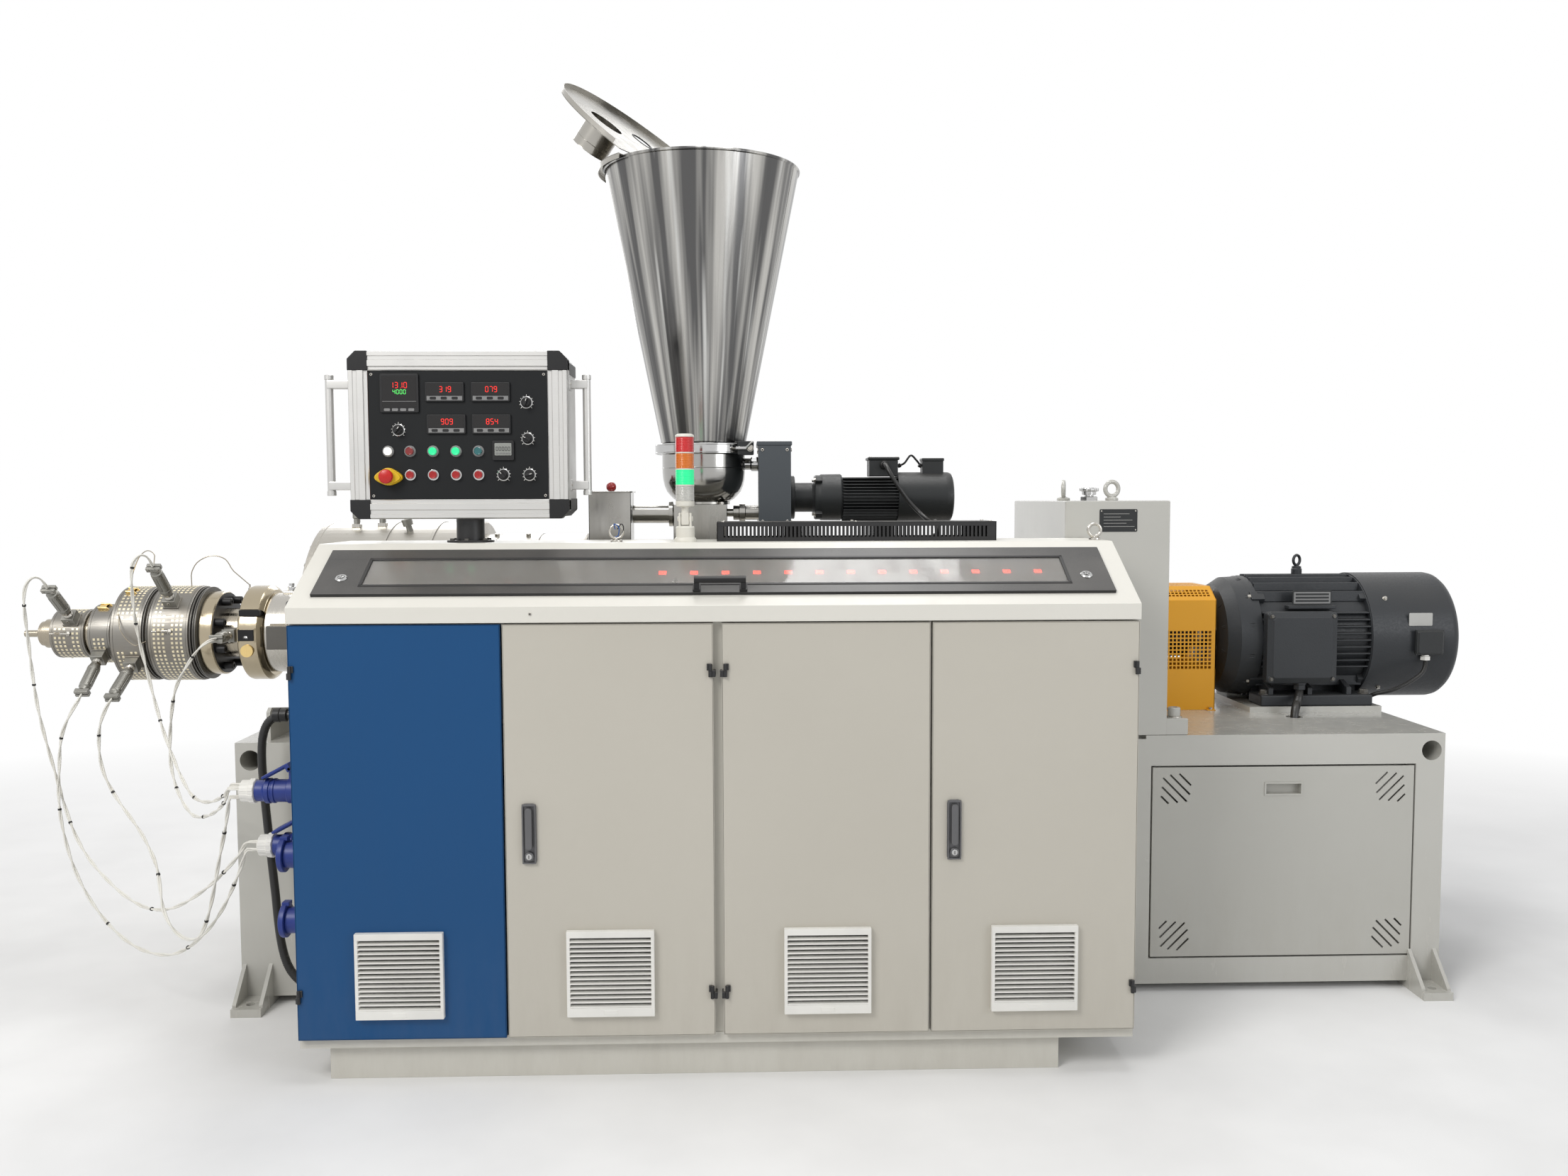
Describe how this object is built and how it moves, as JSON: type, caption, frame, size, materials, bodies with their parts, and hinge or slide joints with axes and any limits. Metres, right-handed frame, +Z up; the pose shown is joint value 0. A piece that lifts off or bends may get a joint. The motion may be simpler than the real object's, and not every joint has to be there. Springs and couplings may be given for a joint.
{
  "type": "plastic extruder",
  "caption": "Conical screw plastic extruder: base frame, gearbox and motor, screw barrel with heated die, hopper feeder, control cabinet with doors and operator box.",
  "frame": {"origin": "middle of the machine's footprint on the floor", "axes": "+X along the machine from the die to the main motor, +Y away from the operator's side, +Z up"},
  "size_m": [4.272, 1.426, 2.5944],
  "materials": {
    "frame_paint": "gloss",
    "panel_paint": "satin",
    "chrome_steel": "polished",
    "eye_paint": "gloss",
    "guard_paint": "gloss",
    "motor_grey": "satin",
    "bright_steel": "polished",
    "cover_steel": "satin",
    "dark_steel": "matt",
    "machined_steel": "machined",
    "band_steel": "satin",
    "plug_metal": "cast",
    "cabinet_paint": "satin",
    "black_plastic": "fine texture",
    "smoked_glass": "smoked",
    "hinge_zinc": "satin black",
    "blue_paint": "satin",
    "door_paint": "satin",
    "white_plastic": "moulded",
    "lock_zinc": "satin",
    "box_aluminium": "anodised",
    "panel_black": "printed panel",
    "ivory_plastic": "moulded",
    "lens_plastic": "clear coloured",
    "vent_black": "satin black",
    "stainless": "polished",
    "clamp_black": "satin",
    "drive_paint": "satin",
    "motor_black": "satin",
    "socket_blue": "moulded",
    "lead_white": "braided",
    "conduit_black": "corrugated"
  },
  "bodies": {
    "machine": {"base_frame": "frame_paint", "anchor_feet": "frame_paint", "base_panel": "panel_paint", "gearbox": "frame_paint", "breather_caps": "chrome_steel", "lifting_eyes": "eye_paint", "coupling_guard": "guard_paint", "main_motor": "motor_grey", "motor_cowl": "motor_grey", "motor_boxes": "motor_grey", "barrel": "bright_steel", "barrel_cover": "cover_steel", "barrel_support": "dark_steel", "clamp_flange": "machined_steel", "die_body": "machined_steel", "heater_bands": "band_steel", "heater_plugs": "plug_metal", "cabinet": "cabinet_paint", "cabinet_plinth": "cabinet_paint", "window_frame": "black_plastic", "window_glass": "smoked_glass", "window_handle": "black_plastic", "hinge_blocks": "hinge_zinc", "control_post": "hinge_zinc", "signal_stem": "ivory_plastic", "signal_lenses": "lens_plastic", "vent_cover": "vent_black", "drop_chute": "stainless", "feed_throat": "stainless", "feed_bowl": "stainless", "hopper_clamp": "clamp_black", "hopper_cone": "stainless", "hopper_lid": "stainless", "feed_drive": "drive_paint", "feed_motor": "motor_black", "power_sockets": "socket_blue", "power_plugs": "white_plastic", "lead_a": "lead_white", "lead_b": "lead_white", "lead_c": "lead_white", "lead_d": "lead_white", "lead_e": "lead_white", "side_conduit": "conduit_black", "motor_conduit": "conduit_black", "feed_conduit": "conduit_black"},
    "door_a_leaf": {"door_a": "blue_paint", "grille_a": "white_plastic"},
    "door_b_leaf": {"door_b": "door_paint", "grille_b": "white_plastic", "lock_b": "lock_zinc"},
    "door_c_leaf": {"door_c": "door_paint", "grille_c": "white_plastic"},
    "door_d_leaf": {"door_d": "door_paint", "grille_d": "white_plastic", "lock_d": "lock_zinc"},
    "lid_flap": {"hopper_flap": "stainless"},
    "operator_box": {"control_box": "box_aluminium", "control_panel": "panel_black", "control_handles": "box_aluminium", "panel_instruments": "panel_black"}
  },
  "joints": [
    {"name": "door_a_hinge", "type": "hinge", "parent": "machine", "child": "door_a_leaf", "pos_m": [-1.079, -0.7025, 0.6], "axis": [0, 0, -1], "range_deg": [0, 110]},
    {"name": "door_b_hinge", "type": "hinge", "parent": "machine", "child": "door_b_leaf", "pos_m": [-0.1185, -0.7025, 0.6], "axis": [0, 0, 1], "range_deg": [0, 90]},
    {"name": "door_c_hinge", "type": "hinge", "parent": "machine", "child": "door_c_leaf", "pos_m": [-0.084, -0.7025, 0.6], "axis": [0, 0, -1], "range_deg": [0, 90]},
    {"name": "door_d_hinge", "type": "hinge", "parent": "machine", "child": "door_d_leaf", "pos_m": [0.874, -0.7025, 0.6], "axis": [0, 0, 1], "range_deg": [0, 110]},
    {"name": "flap_hinge", "type": "hinge", "parent": "machine", "child": "lid_flap", "pos_m": [-0.25107, 0.1989, 2.317], "axis": [0.4462, 0.8949, 0], "range_deg": [0, 138.5]},
    {"name": "box_swivel", "type": "hinge", "parent": "machine", "child": "operator_box", "pos_m": [-0.7385, -0.3325, 1.32], "axis": [0, 0, 1], "range_deg": [-90, 90]}
  ]
}
